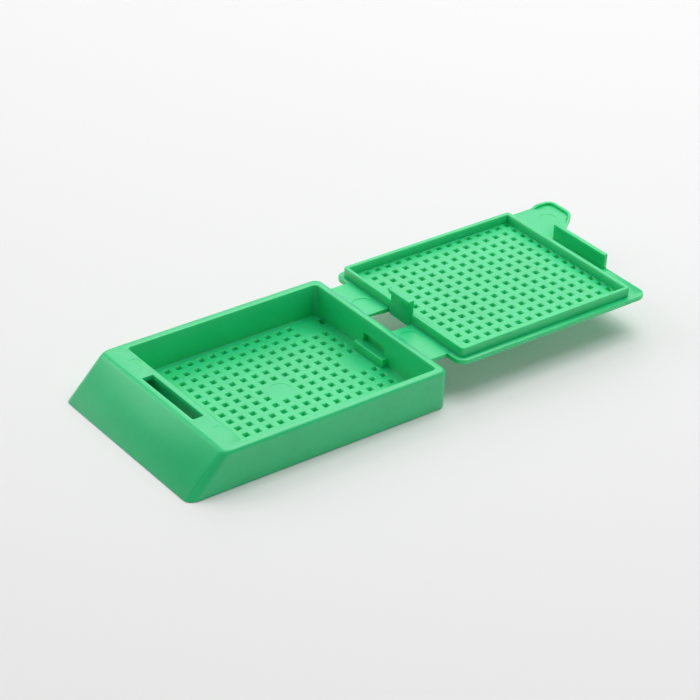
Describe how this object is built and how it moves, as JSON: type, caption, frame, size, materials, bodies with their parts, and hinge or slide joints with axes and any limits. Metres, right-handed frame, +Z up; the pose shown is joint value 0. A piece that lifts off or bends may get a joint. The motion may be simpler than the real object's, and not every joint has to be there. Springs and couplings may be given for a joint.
{
  "type": "tissue cassette",
  "caption": "Small perforated moulded tray with a sloped writing face and a hinged perforated lid that folds over and snaps shut, shown lying open.",
  "frame": {"origin": "middle of the tray's flat underside", "axes": "+X runs from the sloped writing face through the tray and across the hinge to the open lid, +Z is up out of the tray, +Y completes the right hand and is the side of the thumb tab"},
  "size_m": [0.0817, 0.0286, 0.0089],
  "materials": {
    "tray_plastic": "satin",
    "lid_plastic": "satin"
  },
  "bodies": {
    "base": {"base_tray": "tray_plastic"},
    "lid": {"lid": "lid_plastic"}
  },
  "joints": [
    {"name": "lid_hinge", "type": "hinge", "parent": "base", "child": "lid", "pos_m": [0.0211, 0, 0.00562], "axis": [0, -1, 0], "range_deg": [0, 180]}
  ]
}
